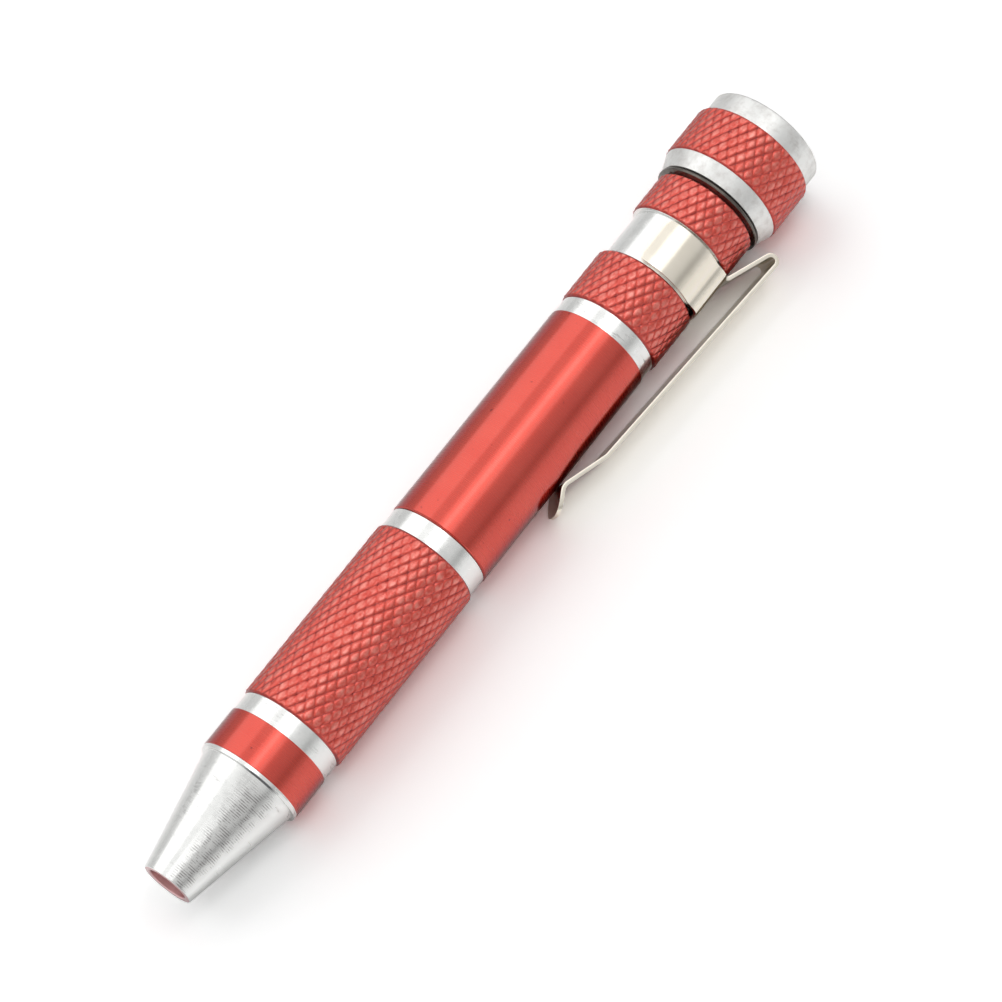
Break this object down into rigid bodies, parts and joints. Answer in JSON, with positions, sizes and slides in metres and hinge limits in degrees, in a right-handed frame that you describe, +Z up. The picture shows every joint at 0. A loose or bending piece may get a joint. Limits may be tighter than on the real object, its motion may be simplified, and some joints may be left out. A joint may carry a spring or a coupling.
{
  "type": "pocket screwdriver",
  "caption": "Aluminium pen screwdriver with knurled grip, magnetic hex socket in the nose, swivel cap, spring clip, and stored bits in two chambers.",
  "frame": {"origin": "centre of the hexagonal socket's mouth in the face of the nose", "axes": "+X along the pen, out of the socket's mouth; +Z up as the pen lies; the clip is on the +Y side and droops to the surface"},
  "size_m": [0.115, 0.0183, 0.016],
  "materials": {
    "anodised_red": "red anodised, smooth and knurled, with bright turned rings",
    "bare_aluminium": "bright turned",
    "nickel_plate": "nickel plated spring steel",
    "magnet_plate": "nickel plated",
    "spring_steel": "black oxide",
    "washer_nylon": "natural nylon",
    "bit_steel": "satin hardened steel"
  },
  "bodies": {
    "barrel": {"barrel": "anodised_red", "clip_band": "nickel_plate"},
    "grip": {"nose_grip": "anodised_red", "socket_magnet": "magnet_plate"},
    "cap_plug": {"end_plug": "bare_aluminium", "swivel_washer": "washer_nylon", "retaining_ring": "spring_steel"},
    "crown": {"swivel_crown": "anodised_red", "end_disc": "bare_aluminium"},
    "clip_arm": {"clip_arm": "nickel_plate"},
    "cross_bit_000": {"cross_bit_000": "bit_steel"},
    "cross_bit_00": {"cross_bit_00": "bit_steel"},
    "cross_bit_0": {"cross_bit_0": "bit_steel"},
    "cross_bit_1": {"cross_bit_1": "bit_steel"},
    "slotted_bit_1_5mm": {"slotted_bit_1_5mm": "bit_steel"},
    "slotted_bit_2mm": {"slotted_bit_2mm": "bit_steel"},
    "slotted_bit_3mm": {"slotted_bit_3mm": "bit_steel"},
    "slotted_bit_3_5mm": {"slotted_bit_3_5mm": "bit_steel"}
  },
  "joints": [
    {"name": "grip_pull", "type": "slide", "parent": "barrel", "child": "grip", "axis": [1, 0, 0], "range_m": [0, 0.06]},
    {"name": "cap_pull", "type": "slide", "parent": "barrel", "child": "cap_plug", "axis": [-1, 0, 0], "range_m": [0, 0.05]},
    {"name": "crown_swivel", "type": "hinge", "parent": "cap_plug", "child": "crown", "pos_m": [-0.1, 0, 0], "axis": [1, 0, 0], "continuous": true},
    {"name": "clip_flex", "type": "hinge", "parent": "barrel", "child": "clip_arm", "pos_m": [-0.1031, 0.00797, -0.00517], "axis": [0, 0.5446, 0.8387], "range_deg": [0, 6], "stiffness_Nm_per_rad": 0.6, "springref_deg": -2.86},
    {"name": "cross_bit_000_out", "type": "slide", "parent": "grip", "child": "cross_bit_000", "axis": [-1, 0, 0], "range_m": [0, 0.027]},
    {"name": "cross_bit_00_out", "type": "slide", "parent": "grip", "child": "cross_bit_00", "axis": [-1, 0, 0], "range_m": [0, 0.0228]},
    {"name": "cross_bit_0_out", "type": "slide", "parent": "grip", "child": "cross_bit_0", "axis": [-1, 0, 0], "range_m": [0, 0.0186]},
    {"name": "cross_bit_1_out", "type": "slide", "parent": "grip", "child": "cross_bit_1", "axis": [-1, 0, 0], "range_m": [0, 0.0144]},
    {"name": "slotted_bit_1_5mm_out", "type": "slide", "parent": "barrel", "child": "slotted_bit_1_5mm", "axis": [-1, 0, 0], "range_m": [0, 0.025]},
    {"name": "slotted_bit_2mm_out", "type": "slide", "parent": "barrel", "child": "slotted_bit_2mm", "axis": [-1, 0, 0], "range_m": [0, 0.021]},
    {"name": "slotted_bit_3mm_out", "type": "slide", "parent": "barrel", "child": "slotted_bit_3mm", "axis": [-1, 0, 0], "range_m": [0, 0.017]},
    {"name": "slotted_bit_3_5mm_out", "type": "slide", "parent": "barrel", "child": "slotted_bit_3_5mm", "axis": [-1, 0, 0], "range_m": [0, 0.013]}
  ],
  "couplings": [
    {"joint": "cross_bit_000_out", "follows": "grip_pull", "ratio": 0.45},
    {"joint": "cross_bit_00_out", "follows": "grip_pull", "ratio": 0.38},
    {"joint": "cross_bit_0_out", "follows": "grip_pull", "ratio": 0.31},
    {"joint": "cross_bit_1_out", "follows": "grip_pull", "ratio": 0.24},
    {"joint": "slotted_bit_1_5mm_out", "follows": "cap_pull", "ratio": 0.5},
    {"joint": "slotted_bit_2mm_out", "follows": "cap_pull", "ratio": 0.42},
    {"joint": "slotted_bit_3mm_out", "follows": "cap_pull", "ratio": 0.34},
    {"joint": "slotted_bit_3_5mm_out", "follows": "cap_pull", "ratio": 0.26}
  ]
}
